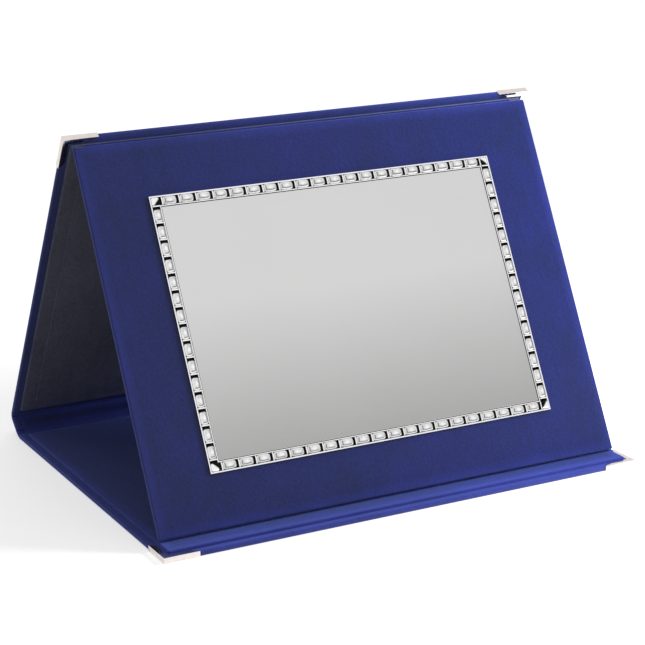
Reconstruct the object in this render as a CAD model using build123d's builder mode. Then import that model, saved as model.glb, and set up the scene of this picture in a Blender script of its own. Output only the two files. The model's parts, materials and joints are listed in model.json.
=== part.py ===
from build123d import *
import os
from math import asin, cos, degrees, radians, sin, tan

# Book-style presentation case for an award plate, standing open as an easel, in millimetres.
# X runs along the hinges, +Y to the back, +Z up. The origin is the centre of the base's underside.

# ---- driving sizes ----
case_width = 288.0  # along the hinges
cover_depth = 218.0  # from a cover's hinge line to its free edge
cover_board = 2.0  # greyboard inside each cover
velvet = 0.4  # covering cloth
turn_in = 15.0  # covering folded over onto the inner face
spine_width = 15.6  # between the two hinge lines
fold_room = 0.2  # spare cloth in each hinge gap
spine_rise = 42.0  # degrees that the spine leans up from the table
cover_lean = 59.0  # degrees between the back cover and the table

lining_inset = 4.2  # bare margin around each lining
lining_board = 1.2
pad_inset = 8.0  # the pad inside the back lining
pad_thickness = 0.6
pad_top_margin = 26.0

panel_margin = 4.1  # the panel is narrower than the case by this much each side
panel_foot_margin = 3.5  # the folded panel stops this far short of the back hinge line
panel_board_thickness = 2.0
panel_top_gap = 0.3  # between the panel's hinge line and its top edge
foot_gap = 0.25  # between the panel's foot and the base lining
fold_gap = 0.3  # between the folded panel and the pad
hinge_cloth = 0.25
hinge_tab = 18.0  # glued length of the panel's hinge cloth

corner_leg = 20.0
corner_metal = velvet  # flush with the cloth around it
flange_gap = 0.7  # between a corner's flange and the lining

plate_side_margin = 34.9  # from the panel's side to the plate
plate_foot_margin = 28.5
plate_top_margin = 31.5
plate_sheet = 0.6
border_width = 6.3
border_height = 0.6
rim_width = 0.8
tape_thickness = 0.3
tape_width = 12.0
tape_inset = 9.0

# ---- derived sizes ----
cover_thickness = cover_board + 2 * velvet
half_gap = cover_thickness + fold_room  # board edge to hinge line, so that a right angle closes
lining_thickness = lining_board + velvet
lining_top = cover_thickness + lining_thickness
lining_width = case_width - 2 * lining_inset
panel_thickness = panel_board_thickness + 2 * velvet
panel_width = case_width - 2 * panel_margin
panel_seat = pad_thickness + fold_gap  # panel's back face above the back lining
hinge_s = cover_depth - lining_inset  # panel hinge, measured up the back cover
panel_length = hinge_s - panel_top_gap - panel_foot_margin
corner_flange = lining_inset - flange_gap
plate_width = panel_width - 2 * plate_side_margin
plate_height = panel_length - plate_foot_margin - plate_top_margin

# ---- the side view, as points (y, z) ----
rise = radians(spine_rise)
lean = radians(cover_lean)
base_hinge = (cover_depth / 2, 0.0)
spine_along = (cos(rise), sin(rise))
back_hinge = (
    base_hinge[0] + spine_width * spine_along[0],
    base_hinge[1] + spine_width * spine_along[1],
)
back_along = (-cos(lean), sin(lean))
back_inward = (-sin(lean), -cos(lean))
panel_hinge = tuple(
    back_hinge[i] + hinge_s * back_along[i] + (lining_top + panel_seat) * back_inward[i] for i in (0, 1)
)
# the panel leans until its foot rests on the base lining
panel_reach = panel_top_gap + panel_length
panel_angle = asin((panel_hinge[1] - lining_top - foot_gap) / panel_reach)
panel_along = (cos(panel_angle), sin(panel_angle))
panel_foot = tuple(panel_hinge[i] - panel_reach * panel_along[i] for i in (0, 1))
back_fold = radians(180 - cover_lean - spine_rise)  # bend of the cloth between spine and back cover
panel_fold = radians(180) - lean - panel_angle  # swing that lays the panel flat on the pad


def face_plane(at, along):
    """A plane whose x is the case's X, whose y runs along a board and whose z faces inwards."""
    normal = (0, -along[1], along[0])
    return Plane(origin=(0, at[0], at[1]), x_dir=(1, 0, 0), z_dir=normal)


base_plane = Plane(origin=(0, base_hinge[0], 0), x_dir=(-1, 0, 0), z_dir=(0, 0, 1))
spine_plane = face_plane(base_hinge, spine_along)
back_plane = face_plane(back_hinge, back_along)
panel_plane = face_plane(panel_foot, panel_along)

os.makedirs("parts", exist_ok=True)


def write(piece, label):
    piece.part.label = label
    export_step(piece.part, f"parts/{label}.step")


def slab(plane, width, start, end, bottom, top):
    """A flat rectangular sheet on a plane, from start to end along it and bottom to top above it."""
    with BuildPart() as piece:
        with BuildSketch(plane.offset(bottom)):
            with Locations((0, (start + end) / 2)):
                Rectangle(width, end - start)
        extrude(amount=top - bottom)
    return piece


# ---- metal corners ----
def metal_corner(plane, side):
    """One corner: a triangular outer plate, two edge walls and a narrow flange on the inner face."""
    x0 = side * case_width / 2
    y0 = cover_depth
    with BuildPart() as corner:
        with BuildSketch(plane):
            with BuildLine():
                Polyline(
                    (x0, y0),
                    (x0 - side * corner_leg, y0),
                    (x0, y0 - corner_leg),
                    close=True,
                )
            make_face()
        extrude(amount=corner_metal)
        for bottom, top, leg_width in (
            (0, cover_thickness, corner_metal),
            (cover_thickness - corner_metal, cover_thickness, corner_flange),
        ):
            with BuildSketch(plane.offset(bottom)):
                with Locations((x0 - side * corner_leg / 2, y0 - leg_width / 2)):
                    Rectangle(corner_leg, leg_width)
                with Locations((x0 - side * leg_width / 2, y0 - corner_leg / 2)):
                    Rectangle(leg_width, corner_leg)
            extrude(amount=top - bottom)
    return corner


# ---- base and back cover: board, covering, corners, lining ----
def make_cover(plane, name, corner_names):
    board = slab(
        plane,
        case_width - 2 * velvet,
        half_gap,
        cover_depth - velvet,
        velvet,
        velvet + cover_board,
    )
    write(board, f"{name}_board")
    corners = [metal_corner(plane, side) for side in (-1, 1)]
    for corner, corner_name in zip(corners, corner_names):
        write(corner, f"metal_corner_{corner_name}")

    with BuildPart() as covering:
        with BuildSketch(plane):
            with Locations((0, (half_gap + cover_depth) / 2)):
                Rectangle(case_width, cover_depth - half_gap)
        extrude(amount=cover_thickness)
        add(board.part, mode=Mode.SUBTRACT)
        with BuildSketch(plane.offset(velvet + cover_board)):
            with Locations((0, (half_gap + cover_depth - turn_in) / 2)):
                Rectangle(case_width - 2 * turn_in, cover_depth - turn_in - half_gap)
        extrude(amount=velvet, mode=Mode.SUBTRACT)
        for corner in corners:
            add(corner.part, mode=Mode.SUBTRACT)
    write(covering, f"{name}_covering")

    lining_start = half_gap + lining_inset
    lining_end = cover_depth - lining_inset
    lining = slab(
        plane,
        lining_width - 2 * velvet,
        lining_start + velvet,
        lining_end - velvet,
        cover_thickness,
        cover_thickness + lining_board,
    )
    write(lining, f"{name}_lining_board")
    with BuildPart() as lining_velvet:
        with BuildSketch(plane.offset(cover_thickness)):
            with Locations((0, (lining_start + lining_end) / 2)):
                Rectangle(lining_width, lining_end - lining_start)
        extrude(amount=lining_thickness)
        add(lining.part, mode=Mode.SUBTRACT)
    write(lining_velvet, f"{name}_lining_velvet")


make_cover(base_plane, "base", ("front_right", "front_left"))
make_cover(back_plane, "back", ("top_left", "top_right"))

pad = slab(
    back_plane,
    lining_width - 2 * pad_inset,
    half_gap + lining_inset + pad_inset,
    hinge_s - pad_top_margin,
    lining_top,
    lining_top + pad_thickness,
)
write(pad, "back_pad")

# ---- spine: board, covering and inner lining ----
spine_end = spine_width - half_gap
spine_board = slab(
    spine_plane,
    case_width - 2 * velvet,
    half_gap,
    spine_end,
    velvet,
    velvet + cover_board,
)
write(spine_board, "spine_board")

with BuildPart() as spine_covering:
    with BuildSketch(spine_plane):
        with Locations((0, spine_width / 2)):
            Rectangle(case_width, spine_end - half_gap)
    extrude(amount=cover_thickness)
    add(spine_board.part, mode=Mode.SUBTRACT)
    with BuildSketch(spine_plane.offset(velvet + cover_board)):
        with Locations((0, spine_width / 2)):
            Rectangle(case_width - 2 * turn_in, spine_end - half_gap)
    extrude(amount=velvet, mode=Mode.SUBTRACT)
write(spine_covering, "spine_covering")

spine_lining = slab(
    spine_plane,
    lining_width,
    half_gap,
    spine_end,
    cover_thickness,
    cover_thickness + velvet,
)
write(spine_lining, "spine_lining")


# ---- cloth hinges beside the spine, bent round in an arc ----
def cloth_bend(hinge, along, bend, width, depth, label):
    """Cloth across a hinge gap: along is the angle of the board before the bend, and depth is how
    far the cloth's outer face lies inside the outer surface."""
    outer = half_gap / tan(bend / 2) - depth
    inner = outer - velvet
    centre = (
        hinge[0] - half_gap * cos(along) - (outer + depth) * sin(along),
        hinge[1] - half_gap * sin(along) + (outer + depth) * cos(along),
    )
    with BuildPart() as bend_piece:
        with BuildSketch(Plane.YZ.offset(-width / 2)):
            with BuildLine():
                near = CenterArc(centre, outer, degrees(along) - 90, degrees(bend))
                far = CenterArc(centre, inner, degrees(along) - 90, degrees(bend))
                Line(near @ 0, far @ 0)
                Line(near @ 1, far @ 1)
            make_face()
        extrude(amount=width)
    write(bend_piece, label)


cloth_bend(base_hinge, 0.0, rise, case_width, 0, "base_hinge_cloth_outer")
cloth_bend(base_hinge, 0.0, rise, lining_width, cover_thickness, "base_hinge_cloth_inner")
cloth_bend(back_hinge, rise, back_fold, case_width, 0, "back_hinge_cloth_outer")


# the inner cloth at the back is creased, not arched: there is no room for an arc inside that fold
def creased_cloth():
    corner = tan(back_fold / 2) * cover_thickness
    crease = tan(back_fold / 2) * (cover_thickness + velvet)
    spine_side = Plane(
        origin=(-lining_width / 2, back_hinge[0], back_hinge[1]),
        x_dir=(0, spine_along[0], spine_along[1]),
        z_dir=(1, 0, 0),
    )
    with BuildPart() as cloth:
        for mirrored in (False, True):
            points = [
                (-half_gap, cover_thickness),
                (-corner, cover_thickness),
                (-crease, cover_thickness + velvet),
                (-half_gap, cover_thickness + velvet),
            ]
            if mirrored:
                turn = cos(back_fold), sin(back_fold)
                points = [(-x * turn[0] - y * turn[1], -x * turn[1] + y * turn[0]) for x, y in points]
            with BuildSketch(spine_side):
                with BuildLine():
                    Polyline(*points, close=True)
                make_face()
            extrude(amount=lining_width)
    write(cloth, "back_hinge_cloth_inner")


creased_cloth()

# ---- the panel that carries the plate ----
panel_board = slab(
    panel_plane,
    panel_width - 2 * velvet,
    velvet,
    panel_length - velvet,
    velvet,
    panel_thickness - velvet,
)
write(panel_board, "panel_board")
panel_back_lining = slab(
    panel_plane,
    panel_width - 2 * turn_in,
    turn_in,
    panel_length - turn_in,
    0,
    velvet,
)
write(panel_back_lining, "panel_back_lining")
with BuildPart() as panel_velvet:
    with BuildSketch(panel_plane):
        with Locations((0, panel_length / 2)):
            Rectangle(panel_width, panel_length)
    extrude(amount=panel_thickness)
    add(panel_board.part, mode=Mode.SUBTRACT)
    add(panel_back_lining.part, mode=Mode.SUBTRACT)
write(panel_velvet, "panel_velvet")


# ---- the panel's hinge: cloth glued to the back lining and to the panel's back, in a V ----
def panel_hinge_piece():
    half = panel_fold / 2
    # side view of the back cover: x up the cover, y inwards from its outer face
    side_plane = Plane(
        origin=(-(panel_width - 2 * pad_inset) / 2, back_hinge[0], back_hinge[1]),
        x_dir=(0, back_along[0], back_along[1]),
        z_dir=(1, 0, 0),
    )
    apex_out = (hinge_s + panel_seat / tan(panel_fold), lining_top)
    apex_in = (
        apex_out[0] - hinge_cloth / sin(half) * cos(half),
        apex_out[1] + hinge_cloth,
    )
    down_panel = (-cos(panel_fold), sin(panel_fold))
    across = (-sin(panel_fold), -cos(panel_fold))
    tab_end = (
        apex_out[0] + hinge_tab * down_panel[0],
        apex_out[1] + hinge_tab * down_panel[1],
    )
    points = [
        (apex_out[0] - hinge_tab, apex_out[1]),
        apex_out,
        tab_end,
        (tab_end[0] + hinge_cloth * across[0], tab_end[1] + hinge_cloth * across[1]),
        apex_in,
        (apex_out[0] - hinge_tab, apex_out[1] + hinge_cloth),
    ]
    with BuildPart() as cloth:
        with BuildSketch(side_plane):
            with BuildLine():
                Polyline(*points, close=True)
            make_face()
        extrude(amount=panel_width - 2 * pad_inset)
    write(cloth, "panel_hinge_cloth")


panel_hinge_piece()

# ---- the plate and its tape ----
tape_top = panel_thickness + tape_thickness
plate_middle = plate_foot_margin + plate_height / 2
with BuildPart() as tape:
    tape_height = plate_height - 2 * tape_inset
    tape_pitch = (plate_width - 2 * tape_inset - tape_width) / 3
    with BuildSketch(panel_plane.offset(panel_thickness)):
        with Locations((0, plate_middle)):
            with GridLocations(tape_pitch, 1, 4, 1):
                Rectangle(tape_width, tape_height)
    extrude(amount=tape_thickness)
write(tape, "plate_tape")

with BuildPart() as plate:
    with BuildSketch(panel_plane.offset(tape_top)):
        with Locations((0, plate_middle)):
            Rectangle(plate_width, plate_height)
    extrude(amount=plate_sheet)
    with BuildSketch(panel_plane.offset(tape_top + plate_sheet)):
        with Locations((0, plate_middle)):
            Rectangle(plate_width - 2 * rim_width, plate_height - 2 * rim_width)
            Rectangle(
                plate_width - 2 * border_width,
                plate_height - 2 * border_width,
                mode=Mode.SUBTRACT,
            )
    extrude(amount=border_height)
write(plate, "award_plate")

print("base hinge y z", base_hinge)
print("back hinge y z", back_hinge)
print("panel hinge y z", panel_hinge)
print("panel angle", degrees(panel_angle), "foot", panel_foot)
print("folds", spine_rise, degrees(back_fold), degrees(panel_fold))
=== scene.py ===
import bpy
import json
from math import cos, pi, radians, sin, tan
from mathutils import Matrix, Vector


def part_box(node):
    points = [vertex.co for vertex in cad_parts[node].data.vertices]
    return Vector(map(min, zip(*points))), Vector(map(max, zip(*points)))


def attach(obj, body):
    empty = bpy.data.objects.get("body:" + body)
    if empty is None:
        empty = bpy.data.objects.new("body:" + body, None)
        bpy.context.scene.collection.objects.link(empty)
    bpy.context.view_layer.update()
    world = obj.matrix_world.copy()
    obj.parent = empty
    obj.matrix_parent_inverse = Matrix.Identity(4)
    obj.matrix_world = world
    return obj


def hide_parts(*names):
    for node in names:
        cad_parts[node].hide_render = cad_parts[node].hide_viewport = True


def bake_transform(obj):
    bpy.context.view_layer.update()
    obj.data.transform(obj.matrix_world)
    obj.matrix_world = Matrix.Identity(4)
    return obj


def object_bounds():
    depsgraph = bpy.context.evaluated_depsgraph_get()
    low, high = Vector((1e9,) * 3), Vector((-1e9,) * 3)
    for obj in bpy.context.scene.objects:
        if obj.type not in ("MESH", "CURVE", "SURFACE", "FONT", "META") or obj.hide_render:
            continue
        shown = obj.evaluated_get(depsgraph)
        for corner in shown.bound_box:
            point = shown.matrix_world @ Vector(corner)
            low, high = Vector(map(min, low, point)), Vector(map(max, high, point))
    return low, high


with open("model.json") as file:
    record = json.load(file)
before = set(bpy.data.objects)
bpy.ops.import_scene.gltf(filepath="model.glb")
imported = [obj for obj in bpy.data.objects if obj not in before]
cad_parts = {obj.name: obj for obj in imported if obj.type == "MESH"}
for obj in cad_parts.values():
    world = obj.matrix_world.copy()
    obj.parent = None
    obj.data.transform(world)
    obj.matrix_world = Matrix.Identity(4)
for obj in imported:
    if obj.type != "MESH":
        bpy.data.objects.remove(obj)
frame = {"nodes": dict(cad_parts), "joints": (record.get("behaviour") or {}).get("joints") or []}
cadLow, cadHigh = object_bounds()
bpy.ops.object.select_all(action="DESELECT")
nodes = frame["nodes"]
joints = {joint["name"]: joint for joint in frame["joints"]}
print("frame loaded:", len(nodes), "nodes")


class Socket:
    def __init__(self, tree, out=None):
        self.tree = tree
        self.out = out

    # any node: its settings first, then the values or links of its sockets; gives one output
    def node(self, kind, settings=None, inputs=None, output=0):
        node = self.tree.nodes.new(kind)
        for key, value in (settings or {}).items():
            setattr(node, key, value)
        for key, value in (inputs or {}).items():
            if isinstance(value, Socket):
                self.tree.links.new(value.out, node.inputs[key])
            else:
                node.inputs[key].default_value = value
        return Socket(self.tree, node.outputs[output])

    def maths(self, operation, first, second):
        return self.node("ShaderNodeMath", {"operation": operation}, {0: first, 1: second})

    def __add__(self, other):
        return self.maths("ADD", self, other)

    def __radd__(self, other):
        return self.maths("ADD", other, self)

    def __sub__(self, other):
        return self.maths("SUBTRACT", self, other)

    def __rsub__(self, other):
        return self.maths("SUBTRACT", other, self)

    def __mul__(self, other):
        return self.maths("MULTIPLY", self, other)

    def __rmul__(self, other):
        return self.maths("MULTIPLY", other, self)

    def maximum(self, other):
        return self.maths("MAXIMUM", self, other)

    def size(self):
        return self.maths("ABSOLUTE", self, 0.0)

    def clamp(self):
        return self.maths("MINIMUM", self.maths("MAXIMUM", self, 0.0), 1.0)


def newMaterial(name):
    material = bpy.data.materials.new(name)
    material.use_nodes = True
    tree = material.node_tree
    place = Socket(tree).node("ShaderNodeTexCoord", output="Object")
    return material, tree.nodes["Principled BSDF"], place


def feed(shader, **sockets):
    for key, value in sockets.items():
        socket = shader.inputs[key.replace("_", " ")]
        if isinstance(value, Socket):
            shader.id_data.links.new(value.out, socket)
        else:
            socket.default_value = value


def noise(place, scale, detail=2.0, roughness=0.5):
    inputs = {"Vector": place, "Scale": scale, "Detail": detail, "Roughness": roughness}
    return place.node("ShaderNodeTexNoise", {}, inputs, "Fac")


def stretch(place, scale):
    return place.node("ShaderNodeMapping", {}, {"Vector": place, "Scale": scale}, "Vector")


def painted(place, name):
    return place.node("ShaderNodeAttribute", {"attribute_name": name}, {}, "Fac")


def mixColour(amount, first, second):
    ends = [value if isinstance(value, Socket) else (*value, 1) for value in (first, second)]
    inputs = {0: amount, 6: ends[0], 7: ends[1]}
    return amount.node("ShaderNodeMix", {"data_type": "RGBA"}, inputs, 2)


def bumpFrom(height, distance, strength=1.0):
    inputs = {"Height": height, "Distance": distance, "Strength": strength}
    return height.node("ShaderNodeBump", {}, inputs, "Normal")


velvetLook = {
    "deep": (0.001, 0.004, 0.034),
    "raised": (0.002, 0.006, 0.103),
    # edge: colour of the band along free edges, partly worn pile and partly painted sheen
    "edge": (0.034, 0.046, 0.310),
    "sheenTint": (0.22, 0.32, 1.0, 1),
    "sheen": 0.6,
    "sheenSpread": 0.5,
    "specular": 0.95,
    "pileScale": 1500,  # tufts of about 0.7 mm
    "napScale": 26,  # brushed patches a few centimetres across
    # how much each pattern adds to the shade
    "napShare": 1.1,
    "strokeShare": 0.6,
    "tuftShare": 1.1,
    "pileShare": 0.9,
}

# the back lining and its pad are a greyer cloth
liningLook = {
    **velvetLook,
    "deep": (0.050, 0.049, 0.052),
    "raised": (0.120, 0.118, 0.122),
    "edge": (0.110, 0.112, 0.170),
}


def velvetMaterial(name, look):
    material, shader, place = newMaterial(name)
    pile = noise(place, look["pileScale"], 2.0, 0.6)
    tufts = noise(place, look["pileScale"] * 0.35, 3.0, 0.6)
    nap = noise(place, look["napScale"], 4.0, 0.55)
    strokes = noise(stretch(place, (1.0, 0.25, 0.25)), look["napScale"] * 6, 3.0, 0.6)
    shade = (
        (nap - 0.5) * look["napShare"]
        + (strokes - 0.5) * look["strokeShare"]
        + (tufts - 0.5) * look["tuftShare"]
        + (pile - 0.5) * look["pileShare"]
        + 0.5
    ).clamp()
    pileColour = mixColour(shade, look["deep"], look["raised"])
    # along free edges the pile turns lighter and bluer: partly real wear, partly painted sheen
    # where the pile catches light
    rubbed = (painted(place, "rubbed") * (0.25 + nap * 0.9)).clamp()
    feed(
        shader,
        Base_Color=mixColour(rubbed, pileColour, look["edge"]),
        Roughness=0.96 - shade * 0.1,
        Sheen_Weight=look["sheen"],
        Sheen_Roughness=look["sheenSpread"],
        Sheen_Tint=look["sheenTint"],
        Specular_IOR_Level=look["specular"],
        Normal=bumpFrom(pile * 0.6 + tufts * 0.8, 0.00035, 0.8),
    )
    return material


greyboardLook = {"dark": (0.22, 0.205, 0.18), "pale": (0.40, 0.375, 0.335), "roughness": 0.9}


def boardMaterial(look):
    material, shader, place = newMaterial("greyboard")
    fibres = noise(place, 420, 5.0, 0.7)
    specks = noise(place, 1400)
    amount = ((fibres - 0.5) * 1.6 + (specks - 0.5) * 0.8 + 0.5).clamp()
    colour = mixColour(amount, look["dark"], look["pale"])
    feed(shader, Base_Color=colour, Roughness=look["roughness"], Normal=bumpFrom(fibres, 0.0001))
    return material


backClothLook = {
    "dark": (0.012, 0.013, 0.035),
    "pale": (0.032, 0.035, 0.085),
    "roughness": 0.85,
    "threadScale": 340.0,
}


def backClothMaterial(look):
    material, shader, place = newMaterial("backCloth")
    inputs = {"Vector": place, "Scale": look["threadScale"]}
    threads = [
        place.node("ShaderNodeTexWave", {"bands_direction": axis}, inputs, "Fac") for axis in "XZ"
    ]
    weave = threads[0] * threads[1]
    wear = noise(place, 60, 4.0)
    colour = mixColour((weave * 0.6 + wear * 0.4).clamp(), look["dark"], look["pale"])
    feed(shader, Base_Color=colour, Roughness=look["roughness"], Normal=bumpFrom(weave, 0.0001))
    return material


nickelLook = {"darkerTone": (0.60, 0.53, 0.50), "bright": (0.84, 0.78, 0.75), "roughness": 0.1}


def nickelMaterial(look):
    material, shader, place = newMaterial("nickel")
    haze = noise(place, 220, 4.0, 0.6)
    colour = mixColour(haze, look["darkerTone"], look["bright"])
    fine = bumpFrom(noise(place, 1800), 0.00001, 0.5)
    roughness = look["roughness"] + haze * 0.16
    feed(shader, Base_Color=colour, Metallic=1.0, Roughness=roughness, Normal=fine)
    return material


# satin metal: a long grain, and painted shade that darkens its lower part
fieldLook = {
    "light": (0.665, 0.665, 0.663),
    "darkerTone": (0.375, 0.375, 0.372),
    "roughness": 0.34,
    "shadeFrom": 0.112,  # height above the table where the painted shade begins
    "shadeOver": 0.085,
}


def fieldMaterial(look):
    material, shader, place = newMaterial("satinField")
    grain = noise(stretch(place, (0.04, 1.0, 1.0)), 2600, 2.0, 0.6)
    cloud = noise(place, 7, 3.0, 0.5)
    height = place.node("ShaderNodeSeparateXYZ", {}, {"Vector": place}, "Z")
    # painted shade: the field turns darker towards the bottom
    paintedShade = ((look["shadeFrom"] - height) * (1 / look["shadeOver"])).clamp()
    amount = (paintedShade + (cloud - 0.5) * 0.25 + (grain - 0.5) * 0.08).clamp()
    feed(
        shader,
        Base_Color=mixColour(amount, look["light"], look["darkerTone"]),
        Metallic=1.0,
        Roughness=look["roughness"] + (grain - 0.5) * 0.08,
        Normal=bumpFrom(grain, 0.000004, 0.6),
    )
    return material


borderLook = {
    "bright": (0.88, 0.88, 0.877),
    # dark: colour of the painted dark reflections and painted shade
    "dark": (0.006, 0.006, 0.007),
    # where the folds lie, in shares of a cushion's width and length
    "creaseLow": 0.29,
    "creaseEnd": 0.37,
    "creasePaintedDark": 0.9,
    "shade": 0.30,
}


# polished metal with painted dark reflections in its channels and along a fold low on each cushion
# and up its near end, and painted shade greying each dome
def borderMaterial(look):
    material, shader, place = newMaterial("polishedBorder")
    smudgeAndShade = noise(place, 700, 3.0, 0.6)
    wander = (noise(place, 420, 2.0, 0.5) - 0.5) * 0.10
    along = painted(place, "along") + wander
    across = painted(place, "across") + wander
    # painted dark reflection along the fold low on each cushion and up its near end
    foldLow = (1 - (across + look["creaseLow"]).size() * 8).clamp()
    foldEnd = (1 - (along + look["creaseEnd"]).size() * 12).clamp()
    low = foldLow * ((0.40 - along.size()) * 14).clamp()
    end = foldEnd * ((0.36 - across.size()) * 14).clamp()
    # painted shade: each dome greys away from its middle, more towards its low side
    away = ((across.size() + along.size() - 0.14) * 4).clamp()
    shade = away * (look["shade"] + (smudgeAndShade - 0.5) * 0.5 - across * 0.35)
    # painted dark reflection in the channels
    channels = painted(place, "recess") * (0.85 + smudgeAndShade * 0.4)
    amount = channels.maximum(low.maximum(end) * look["creasePaintedDark"]).maximum(shade).clamp()
    feed(
        shader,
        Base_Color=mixColour(amount, look["bright"], look["dark"]),
        Metallic=1.0,
        Roughness=0.06 + smudgeAndShade * 0.06 + amount * 0.2,
    )
    return material


tapeLook = {"dark": (0.52, 0.52, 0.49), "pale": (0.72, 0.72, 0.69), "roughness": 0.8}


def tapeMaterial(look):
    material, shader, place = newMaterial("foamTape")
    cells = noise(place, 1500, 2.0, 0.6)
    colour = mixColour(cells, look["dark"], look["pale"])
    feed(shader, Base_Color=colour, Roughness=look["roughness"], Normal=bumpFrom(cells, 0.0001))
    return material


velvet = velvetMaterial("navyVelvet", velvetLook)
liningVelvet = velvetMaterial("liningVelvet", liningLook)
greyboard = boardMaterial(greyboardLook)
backCloth = backClothMaterial(backClothLook)
nickel = nickelMaterial(nickelLook)
satinField = fieldMaterial(fieldLook)
polished = borderMaterial(borderLook)
foamTape = tapeMaterial(tapeLook)
print("materials made")


# where things are, read from the frame
spineHinge = Vector(joints["spine_hinge"]["pos_m"])
backHinge = Vector(joints["back_cover_hinge"]["pos_m"])
panelHinge = Vector(joints["panel_hinge"]["pos_m"])
spineAngle = radians(joints["spine_hinge"]["range_deg"][1])
backBend = radians(joints["back_cover_hinge"]["range_deg"][1])
backAngle = spineAngle + backBend
panelAngle = backAngle - radians(joints["panel_hinge"]["range_deg"][1])


# unit vectors along a board and towards the inside of the case
def boardAxes(angle):
    return Vector((0, cos(angle), sin(angle))), Vector((0, -sin(angle), cos(angle)))


# a board's own axes: x along the hinges, y along the board, z towards the inside of the case
def facePlane(at, angle):
    axes = (Vector((1, 0, 0)), *boardAxes(angle))
    return Matrix.Translation(at) @ Matrix(axes).transposed().to_4x4()


basePlane = Matrix.Translation(spineHinge) @ Matrix.Rotation(pi, 4, "Z")
spinePlane = facePlane(spineHinge, spineAngle)
backPlane = facePlane(backHinge, backAngle)
panelPlane = facePlane(panelHinge, panelAngle)


def spanOf(node, plane):
    inverse = plane.inverted()
    points = [inverse @ vertex.co for vertex in nodes[node].data.vertices]
    low = Vector([min(point[i] for point in points) for i in range(3)])
    high = Vector([max(point[i] for point in points) for i in range(3)])
    return low, high


def selectWhere(piece, kind, test):
    mesh = piece.data
    for part in (mesh.vertices, mesh.edges, mesh.polygons):
        for item in part:
            item.select = False
    for item in getattr(mesh, kind):
        if test(item):
            item.select = True


def edgeMiddle(mesh, edge):
    first, second = (mesh.vertices[index].co for index in edge.vertices)
    return (first + second) / 2


def pickOnly(piece):
    bpy.ops.object.select_all(action="DESELECT")
    piece.select_set(True)
    bpy.context.view_layer.objects.active = piece


def inEditMode(piece, mode, *steps):
    pickOnly(piece)
    # set first: entering in vertex mode would spread a selection to every face between its corners
    kinds = [mode == kind for kind in ("VERT", "EDGE", "FACE")]
    bpy.context.tool_settings.mesh_select_mode = kinds
    bpy.ops.object.mode_set(mode="EDIT")
    for step in steps:
        step()
    bpy.ops.object.mode_set(mode="OBJECT")


near = 1e-6
closeUp = (
    lambda: bpy.ops.mesh.select_all(action="SELECT"),
    lambda: bpy.ops.mesh.remove_doubles(threshold=near),
    lambda: bpy.ops.mesh.normals_make_consistent(inside=False),
)


# the piece just added, under its own name
def named(name):
    piece = bpy.context.object
    piece.name = name
    piece.data.name = name
    return piece


def newBox(name, low, high):
    bpy.ops.object.select_all(action="DESELECT")
    bpy.ops.mesh.primitive_cube_add(size=1, location=(low + high) / 2, scale=high - low)
    piece = named(name)
    bpy.ops.object.transform_apply(location=True, rotation=True, scale=True)
    return piece


def applyModifier(piece, kind, **settings):
    modifier = piece.modifiers.new(kind.lower(), kind)
    for key, value in settings.items():
        setattr(modifier, key, value)
    pickOnly(piece)
    bpy.ops.object.modifier_apply(modifier=modifier.name)


def placeOn(piece, plane):
    piece.matrix_world = plane
    pickOnly(piece)
    bpy.ops.object.transform_apply(location=True, rotation=True, scale=True)


def smooth(piece, angle=40):
    pickOnly(piece)
    bpy.ops.object.shade_smooth_by_angle(angle=radians(angle))


def setMaterials(piece, *materials):
    piece.data.materials.clear()
    for material in materials:
        piece.data.materials.append(material)


def setAttribute(piece, name, valueAt):
    attribute = piece.data.attributes.new(name, "FLOAT", "POINT")
    for vertex in piece.data.vertices:
        attribute.data[vertex.index].value = valueAt(vertex.co)


boardLook = {
    "rounding": 0.0009,
    "roundShare": 0.45,  # most of a board's thickness that an edge may take
    "segments": 4,
    "wearAndSheenWidth": 0.006,
    "ringShare": 0.42,  # most of a board's narrower side that the edge band of wear and painted sheen may take
    "skin": 0.0004,
}


# true for the twelve outer edges of the box
def onOutline(mesh, edge, low, high):
    ends = [mesh.vertices[index].co for index in edge.vertices]
    sides = 0
    for axis in range(3):
        for limit in (low[axis], high[axis]):
            if all(abs(end[axis] - limit) < near for end in ends):
                sides += 1
    return sides >= 2


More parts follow.
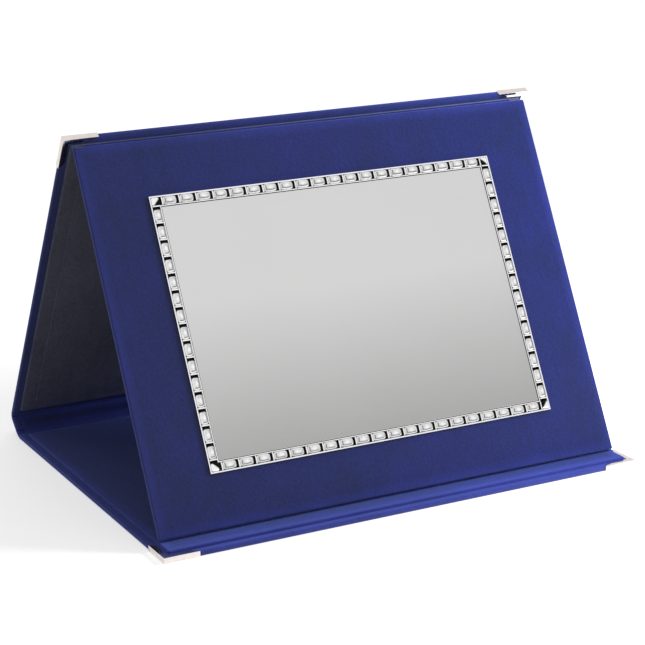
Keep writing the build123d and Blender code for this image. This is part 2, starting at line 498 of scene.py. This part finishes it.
# a cloth-covered board, soft at its free edges; square names the sides that stay sharp
def velvetBoard(
    name, node, plane, body, look, square=(), skin=False, material=velvet, proud=0.0, rub=1.0
):
    low, high = spanOf(node, plane)
    low.z -= proud
    piece = newBox(name, low, high)
    radius = min(look["rounding"], (high.z - low.z) * look["roundShare"])
    # kept under half of the narrower side, or the rings would cross and fold the face over
    ring = min(look["wearAndSheenWidth"], min(high.x - low.x, high.y - low.y) * look["ringShare"])

    def isSoft(edge):
        middle = edgeMiddle(piece.data, edge)
        if "start" in square and abs(middle.y - low.y) < near:
            return False
        if "end" in square and abs(middle.y - high.y) < near:
            return False
        return not ("bottom" in square and abs(middle.z - low.z) < near)

    # the flat faces get two rings inside their outline, for the rounding and for the edge band of
    # wear and painted sheen
    selectWhere(piece, "polygons", lambda face: abs(face.normal.z) > 0.9)
    inset = bpy.ops.mesh.inset
    inEditMode(
        piece,
        "FACE",
        lambda: inset(thickness=radius * 1.05, use_individual=True),
        lambda: inset(thickness=ring - radius, use_individual=True),
    )
    selectWhere(
        piece, "edges", lambda edge: isSoft(edge) and onOutline(piece.data, edge, low, high)
    )
    inEditMode(
        piece,
        "EDGE",
        lambda: bpy.ops.mesh.bevel(
            offset=radius, segments=look["segments"], profile=0.5, affect="EDGES"
        ),
        *closeUp,
    )

    # edge band fading inwards from the free edges: partly worn pile, partly painted sheen
    def wearAndSheenAt(point):
        gaps = [point.x - low.x, high.x - point.x]
        if "end" not in square:
            gaps.append(high.y - point.y)
        if "start" not in square:
            gaps.append(point.y - low.y)
        return rub * max(0.0, 1.0 - min(gaps) / ring)

    setAttribute(piece, "rubbed", wearAndSheenAt)
    if skin:
        applyModifier(piece, "SOLIDIFY", thickness=look["skin"], offset=-1)
    placeOn(piece, plane)
    smooth(piece)
    setMaterials(piece, material)
    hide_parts(node)
    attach(piece, body)


# name, node, plane, body, sides that stay sharp, and what differs from the usual
for boardName, boardNode, boardPlane, boardBody, square, extras in (
    ("baseCover", "base_covering", basePlane, "base", ("start",), {"skin": True}),
    ("baseLining", "base_lining_velvet", basePlane, "base", ("bottom",), {}),
    ("spineCover", "spine_covering", spinePlane, "spine", ("start", "end"), {"skin": True}),
    ("spineLining", "spine_lining", spinePlane, "spine", ("start", "end", "bottom"), {}),
    ("backCover", "back_covering", backPlane, "back_cover", ("start",), {"skin": True, "rub": 0.3}),
    (
        "backLining", "back_lining_velvet", backPlane, "back_cover", ("bottom",),
        {"material": liningVelvet, "rub": 0.15},
    ),
    (
        "backInset", "back_pad", backPlane, "back_cover", ("bottom",),
        {"material": liningVelvet, "rub": 0.1},
    ),
    ("frontPanel", "panel_velvet", panelPlane, "panel", (), {"skin": True, "rub": 0.45}),
    (
        "panelBackCloth", "panel_back_lining", panelPlane, "panel", (),
        {"material": backCloth, "proud": 0.00015},
    ),
):
    velvetBoard(boardName, boardNode, boardPlane, boardBody, boardLook, square, **extras)
print("velvet boards made")


bandLook = {
    "groove": 0.0003,  # the outer cloth sits this far below the covers
    "cornerShare": 0.4,
    "steps": 14,
}


# a soft band swept round a fold; before is the angle of the board that it leaves,
# and the depth of its face that shows is not used
def hingeBand(name, hinge, before, bend, width, depth, thickness, look, replaced):
    gap = abs(spineHinge.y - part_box("base_covering")[1].y)
    along, inward = boardAxes(before)
    start = hinge - along * gap
    centre = start + inward * (gap / tan(bend / 2))
    bpy.ops.object.select_all(action="DESELECT")
    bpy.ops.mesh.primitive_plane_add(size=1)
    piece = named(name)
    axes = Matrix((Vector((width, 0, 0)), inward * thickness, along)).transposed().to_4x4()
    piece.matrix_world = Matrix.Translation(start + inward * (depth + thickness / 2)) @ axes
    bpy.ops.object.transform_apply(location=True, rotation=True, scale=True)
    corner = min(look["rounding"], thickness * bandLook["cornerShare"])
    inEditMode(
        piece,
        "VERT",
        lambda: bpy.ops.mesh.select_all(action="SELECT"),
        lambda: bpy.ops.mesh.bevel(offset=corner, segments=look["segments"], affect="VERTICES"),
        lambda: bpy.ops.mesh.select_all(action="SELECT"),
        lambda: bpy.ops.mesh.spin(
            steps=bandLook["steps"], angle=-bend, center=centre, axis=(1, 0, 0)
        ),
        *closeUp,
    )
    # the long edges get the band of worn pile and painted sheen
    edgeX = width / 2 - look["wearAndSheenWidth"]
    setAttribute(
        piece, "rubbed", lambda point: max(0.0, (abs(point.x) - edgeX) / look["wearAndSheenWidth"])
    )
    smooth(piece)
    setMaterials(piece, velvet)
    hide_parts(*replaced)
    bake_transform(piece)


grooveDepth = bandLook["groove"]
caseWidth = cadHigh.x - cadLow.x
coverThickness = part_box("base_covering")[1].z
spineLiningLow, spineLiningHigh = spanOf("spine_lining", spinePlane)
liningCloth = spineLiningHigh.z - spineLiningLow.z
innerWidth = spineLiningHigh.x - spineLiningLow.x
outerCloth = coverThickness - 2 * grooveDepth
innerTop = coverThickness + liningCloth
for side, hinge, before, bend, bodies in (
    ("base", spineHinge, 0.0, spineAngle, ("base", "spine")),
    ("back", backHinge, spineAngle, backBend, ("spine", "back_cover")),
):
    # suffix, width, depth, thickness and the depth of the face that shows
    for suffix, width, depth, thickness, seenAt in (
        ("Outer", caseWidth, grooveDepth, outerCloth, grooveDepth),
        ("Inner", innerWidth, coverThickness, liningCloth, innerTop),
    ):
        hingeBand(
            f"{side}Hinge{suffix}", hinge, before, bend, width, depth, thickness,
            boardLook, [f"{side}_hinge_cloth_{suffix.lower()}"],
        )
print("spine hinges made")


panelHingeLook = {
    "tab": 0.018,  # glued length each side of the fold
    "cloth": 0.00025,
    "rub": 0.2,
    "turn": 0.0008,  # half of the length that bends
}


def panelHingeCloth(look):
    low, high = spanOf("panel_hinge_cloth", backPlane)
    apex = Vector((0, high.y, low.z))
    bpy.ops.object.select_all(action="DESELECT")
    bpy.ops.mesh.primitive_plane_add(size=1)
    piece = named("panelHingeCloth")
    piece.scale = (high.x - low.x, look["tab"], 1)
    piece.location = apex - Vector((0, look["tab"] / 2, 0))
    bpy.ops.object.transform_apply(location=True, rotation=True, scale=True)
    fold = backAngle - panelAngle
    step = Vector((0, -cos(fold), sin(fold))) * look["tab"]
    selectWhere(piece, "edges", lambda edge: abs(edgeMiddle(piece.data, edge).y - apex.y) < near)
    inEditMode(
        piece,
        "EDGE",
        lambda: bpy.ops.mesh.extrude_region_move(TRANSFORM_OT_translate={"value": step}),
    )
    # the whole cloth gets a little of the worn pile and painted sheen
    setAttribute(piece, "rubbed", lambda point: look["rub"])
    applyModifier(piece, "SOLIDIFY", thickness=look["cloth"], offset=1, use_even_offset=True)
    inEditMode(piece, "VERT", *closeUp)
    placeOn(piece, backPlane)
    setMaterials(piece, velvet)
    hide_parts("panel_hinge_cloth")
    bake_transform(piece)


panelHingeCloth(panelHingeLook)
print("panel hinge made")


cornerLook = {
    "leg": 0.020,
    "flange": 0.0034,
    "proud": 0.0003,
    "metal": 0.00045,
    "rounding": 0.00016,
}


# a folded corner: a triangle outside, two edge walls and a mitred flange inside
def metalCorner(name, node, plane, side, body, look, onTable):
    low, high = spanOf(node, plane)
    outX = (high.x if side > 0 else -low.x) + look["proud"]
    outY = high.y + look["proud"]
    top = high.z + look["proud"]
    leg = look["leg"]
    bottom = 0.0 if onTable else -look["proud"]
    piece = newBox(name, Vector((outX - leg, outY - leg, bottom)), Vector((outX, outY, top)))
    selectWhere(piece, "polygons", lambda face: face.normal.z > 0.9)
    inEditMode(piece, "FACE", lambda: bpy.ops.mesh.inset(thickness=look["flange"]))

    def isOpen(face):
        if face.normal.z > 0.9:
            inX = face.center.x < outX - look["flange"]
            return inX and face.center.y < outY - look["flange"]
        return face.normal.z < -0.9 or face.normal.x < -0.9 or face.normal.y < -0.9

    selectWhere(piece, "polygons", isOpen)
    inEditMode(piece, "FACE", lambda: bpy.ops.mesh.delete(type="ONLY_FACE"))
    inEditMode(
        piece,
        "VERT",
        lambda: bpy.ops.mesh.select_all(action="SELECT"),
        lambda: bpy.ops.mesh.delete_loose(use_verts=True, use_edges=True, use_faces=False),
    )
    selectWhere(piece, "vertices", lambda vertex: vertex.co.z < bottom + near)
    inEditMode(piece, "VERT", bpy.ops.mesh.edge_face_add)
    inEditMode(piece, "VERT", *closeUp)
    applyModifier(piece, "SOLIDIFY", thickness=look["metal"], offset=-1, use_even_offset=True)
    applyModifier(
        piece, "BEVEL", width=look["rounding"], segments=3,
        limit_method="ANGLE", angle_limit=radians(40),
    )
    if side < 0:
        pickOnly(piece)
        piece.scale.x = -1
        bpy.ops.object.transform_apply(location=True, rotation=True, scale=True)
    inEditMode(piece, "VERT", *closeUp)
    placeOn(piece, plane)
    smooth(piece, 35)
    setMaterials(piece, nickel)
    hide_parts(node)
    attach(piece, body)


for end, plane, body, onTable in (
    ("Front", basePlane, "base", True),
    ("Top", backPlane, "back_cover", False),
):
    # the base's own x axis runs the other way, so there the low side is the right one
    for side in (-1, 1):
        hand = "Right" if (side < 0) == onTable else "Left"
        cornerNode = f"metal_corner_{end.lower()}_{hand.lower()}"
        metalCorner(f"corner{end}{hand}", cornerNode, plane, side, body, cornerLook, onTable)
print("metal corners made")


plateLook = {
    "sheet": 0.0006,
    "longCount": 20,
    "shortCount": 15,
    "longGap": 0.0026,  # bare channel between two cushions
    "shortGap": 0.0028,
    "cushionHeight": 0.00125,
    "ribWidth": 0.0008,
    "ribShift": 0.27,  # share of the gap by which a rib leans to the next cushion
    "crown": (0.74, 0.60, 1.0),  # a cushion's top against its foot
    "swell": 1.14,  # smoothing shrinks a cushion, so it starts larger
    "skirt": 0.62,  # share of a cushion's height that gets painted dark reflection at its foot
    "edge": 0.00007,
    # rings from the outer edge inwards: name, width, rise
    "section": (
        ("rim", 0.0007, 0.00040),
        ("rimWall", 0.00015, -0.00040),
        ("channel", 0.00435, 0.0),
        ("lipWall", 0.00015, 0.00030),
        ("lip", 0.00045, 0.0),
        ("grooveWall", 0.00010, -0.00045),
        ("groove", 0.00025, 0.0),
        ("fieldWall", 0.00015, 0.00015),
    ),
}


def plateSheet(look):
    low, high = spanOf("award_plate", panelPlane)
    channelFloor = low.z + look["sheet"]
    rimTop = channelFloor + look["section"][0][2]
    piece = newBox("plateSheet", low, Vector((high.x, high.y, rimTop)))
    selectWhere(piece, "polygons", lambda face: face.normal.z > 0.9)
    # the rim is the starting face, so its own rise is already there
    rings = [(width, 0.0 if ring == "rim" else rise) for ring, width, rise in look["section"]]
    inset = bpy.ops.mesh.inset
    inEditMode(
        piece,
        "FACE",
        *[
            lambda width=width, rise=rise: inset(thickness=width, depth=rise)
            for width, rise in rings
        ],
    )
    setMaterials(piece, polished, satinField)
    field = max(piece.data.polygons, key=lambda face: face.area if face.normal.z > 0.9 else 0)
    field.material_index = 1
    # low rings get painted dark reflections: the channel round the cushions and the fine groove
    # round the field
    borderWidth = sum(width for width, _ in rings)

    def paintedDarkAt(point):
        inside = min(point.x - low.x, high.x - point.x, point.y - low.y, high.y - point.y)
        isLow = point.z < channelFloor + near and point.z > low.z + near
        return 1.0 if isLow and inside < borderWidth - 0.00005 else 0.0

    setAttribute(piece, "recess", paintedDarkAt)
    for attribute in ("along", "across"):
        setAttribute(piece, attribute, lambda point: 0.0)
    applyModifier(
        piece, "BEVEL", width=look["edge"], segments=2,
        limit_method="ANGLE", angle_limit=radians(30),
    )
    placeOn(piece, panelPlane)
    smooth(piece, 30)
    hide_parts("award_plate")
    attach(piece, "panel")
    return low, high, channelFloor


# one convex cushion along x, standing on z = 0; darkAt gives a share of painted dark reflection
# over its top
def newCushion(length, width, look, darkAt=None):
    height = look["cushionHeight"]
    low = Vector((-length / 2, -width / 2, -height * 0.3)) * look["swell"]
    piece = newBox("cushion", low, Vector((-low.x, -low.y, height * 1.12)))
    inEditMode(
        piece,
        "FACE",
        lambda: bpy.ops.mesh.select_all(action="SELECT"),
        lambda: bpy.ops.mesh.subdivide(number_cuts=1),
    )
    selectWhere(piece, "vertices", lambda vertex: vertex.co.z > height)
    inEditMode(piece, "VERT", lambda: bpy.ops.transform.resize(value=look["crown"]))
    applyModifier(piece, "SUBSURF", levels=2, render_levels=2)

    # painted dark reflection at the cushion's foot, and over its top where darkAt says
    def paintedDarkAt(point):
        dark = darkAt(point.x / length, point.y / width) if darkAt else 0.0
        return min(1.0, dark + max(0.0, 1.0 - point.z / (height * look["skirt"])))

    setAttribute(piece, "recess", paintedDarkAt)
    setAttribute(piece, "along", lambda point: 0.0 if darkAt else point.x / length)
    setAttribute(piece, "across", lambda point: 0.0 if darkAt else point.y / width)
    return piece


def copyAt(piece, place, quarters):
    twin = piece.copy()
    twin.data = piece.data.copy()
    bpy.context.scene.collection.objects.link(twin)
    twin.matrix_world = Matrix.Translation(place) @ Matrix.Rotation(quarters * pi / 2, 4, "Z")
    return twin


def plateBorder(look, low, high, channelFloor):
    widths = {ringName: width for ringName, width, _ in look["section"]}
    border = sum(widths.values())
    channel = widths["channel"]
    inside = widths["rim"] + widths["rimWall"] + channel / 2  # the channel's middle line
    middle = Vector(((low.x + high.x) / 2, (low.y + high.y) / 2, channelFloor))
    halfX = (high.x - low.x) / 2
    halfY = (high.y - low.y) / 2
    height = look["cushionHeight"]
    made = []
    for turned, count, halfRun, halfAcross, gap in (
        (False, look["longCount"], halfX, halfY, look["longGap"]),
        (True, look["shortCount"], halfY, halfX, look["shortGap"]),
    ):
        pitch = 2 * (halfRun - border) / count
        cushion = newCushion(pitch - gap, channel * 0.98, look)
        rib = newBox(
            "rib",
            Vector((-look["ribWidth"] / 2, -channel * 0.49, -0.0001)),
            Vector((look["ribWidth"] / 2, channel * 0.49, height * 0.5)),
        )
        applyModifier(rib, "BEVEL", width=0.0002, segments=2)
        for attribute in ("recess", "along", "across"):
            setAttribute(rib, attribute, lambda point: 0.0)
        for end in (-1, 1):
            for index in range(count + 1):
                across = end * (halfAcross - inside)
                for source, run in (
                    (cushion, pitch * (index + 0.5)),
                    (rib, pitch * index + look["ribShift"] * gap),
                ):
                    if source is cushion and index == count:
                        continue
                    run += border - halfRun
                    offset = Vector((across, run, 0)) if turned else Vector((run, across, 0))
                    made.append(copyAt(source, middle + offset, int(turned)))
        for source in (cushion, rib):
            bpy.data.objects.remove(source)
    # square bosses, with painted dark reflection on the half that faces the field
    boss = newCushion(
        channel, channel, look, lambda x, y: min(1.0, max(0.0, (x - y) * 5 - 0.3))
    )
    for quarters, sideX, sideY in ((0, -1, 1), (1, -1, -1), (2, 1, -1), (3, 1, 1)):
        offset = Vector((sideX * (halfX - inside), sideY * (halfY - inside), 0))
        made.append(copyAt(boss, middle + offset, quarters))
    bpy.data.objects.remove(boss)
    bpy.ops.object.select_all(action="DESELECT")
    for piece in made:
        piece.select_set(True)
    bpy.context.view_layer.objects.active = made[0]
    bpy.ops.object.join()
    joined = named("plateBorder")
    bpy.ops.object.transform_apply(location=True, rotation=True, scale=True)
    placeOn(joined, panelPlane)
    smooth(joined, 50)
    setMaterials(joined, polished)
    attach(joined, "panel")


plateBorder(plateLook, *plateSheet(plateLook))
print("award plate made")

# hidden pieces keep their CAD shape and get a finish
for part in ("base", "spine", "back", "base_lining", "back_lining", "panel"):
    setMaterials(nodes[part + "_board"], greyboard)
setMaterials(nodes["plate_tape"], foamTape)
print("CAD nodes finished")

studio = {
    "floor": 0.8,
    "fill": 0.16,
    "liftNear": 0.60,
    "liftFar": 0.86,
    "nearRadius": 0.22,
    "farRadius": 1.1,
    "backdrop": 1.0,
}


# 1 for rays that see the backdrop directly, in metal or through glass
def seenDirectly(tree):
    kinds = ("Is Camera Ray", "Is Glossy Ray", "Is Transmission Ray")
    first, second, third = (
        Socket(tree).node("ShaderNodeLightPath", output=kind) for kind in kinds
    )
    return (first + second + third).clamp()


bpy.ops.object.select_all(action="DESELECT")
bpy.ops.mesh.primitive_plane_add(size=6, location=(0, 0, -0.0002))
floor = bpy.context.object
floor.name = "floor"
paleFloor, floorShader, floorPlace = newMaterial("paleFloor")
distance = floorPlace.node(
    "ShaderNodeVectorMath", {"operation": "LENGTH"}, {0: floorPlace}, "Value"
)
liftOver = studio["farRadius"] - studio["nearRadius"]
outward = ((distance - studio["nearRadius"]) * (1 / liftOver)).clamp()
lift = seenDirectly(paleFloor.node_tree) * (
    outward * (studio["liftFar"] - studio["liftNear"]) + studio["liftNear"]
)
feed(
    floorShader,
    Base_Color=(studio["floor"], studio["floor"], studio["floor"], 1),
    Roughness=1.0,
    Specular_IOR_Level=0.0,
    Emission_Color=mixColour(lift, (0, 0, 0), (1, 1, 1)),
    Emission_Strength=1.0,
)
setMaterials(floor, paleFloor)
bpy.ops.object.transform_apply(location=True, rotation=True, scale=True)

world = bpy.data.worlds.new("studio")
bpy.context.scene.world = world
world.use_nodes = True
background = world.node_tree.nodes["Background"]
background.inputs["Color"].default_value = (1, 1, 1, 1)
backdropLift = studio["backdrop"] - studio["fill"]
feed(background, Strength=seenDirectly(world.node_tree) * backdropLift + studio["fill"])

# name, place, size and power; they light cloth but make no hot spot in the metal
lamps = (
    ("keyRight", (0.42, -0.24, 0.33), 0.22, 4.3),
    ("softTop", (-0.10, 0.10, 1.20), 1.00, 3.4),
)
for lampName, lampPlace, lampSize, lampPower in lamps:
    bpy.ops.object.light_add(type="AREA", location=lampPlace)
    lamp = bpy.context.object
    lamp.name = lampName
    lamp.data.shape = "DISK"
    lamp.data.size = lampSize
    lamp.data.energy = lampPower
    lamp.visible_glossy = False
    lamp.visible_camera = False
    lamp.rotation_mode = "QUATERNION"
    lamp.rotation_quaternion = (Vector((0, 0, 0.08)) - Vector(lampPlace)).to_track_quat("-Z", "Y")

cameraSet = {
    "place": (-0.50031, -0.96538, 0.39168),
    "azimuth": -27.572,
    "elevation": 16.127,
    "roll": -0.758,
    "lens": 111.34,
}


def makeCamera(settings):
    azimuth = radians(settings["azimuth"])
    elevation = radians(settings["elevation"])
    roll = radians(settings["roll"])
    back = Vector((sin(azimuth) * cos(elevation), -cos(azimuth) * cos(elevation), sin(elevation)))
    level = Vector((cos(azimuth), sin(azimuth), 0))
    upright = back.cross(level)
    right = level * cos(roll) + upright * sin(roll)
    up = upright * cos(roll) - level * sin(roll)
    data = bpy.data.cameras.new("camera")
    data.lens = settings["lens"]
    data.sensor_width = 36
    data.clip_start = 0.01
    data.clip_end = 50
    camera = bpy.data.objects.new("camera", data)
    bpy.context.scene.collection.objects.link(camera)
    turn = Matrix((right, up, back)).transposed().to_4x4()
    camera.matrix_world = Matrix.Translation(settings["place"]) @ turn
    bpy.context.scene.camera = camera


makeCamera(cameraSet)
bpy.context.scene.view_settings.view_transform = "Standard"
bpy.context.view_layer.update()
print("studio made")
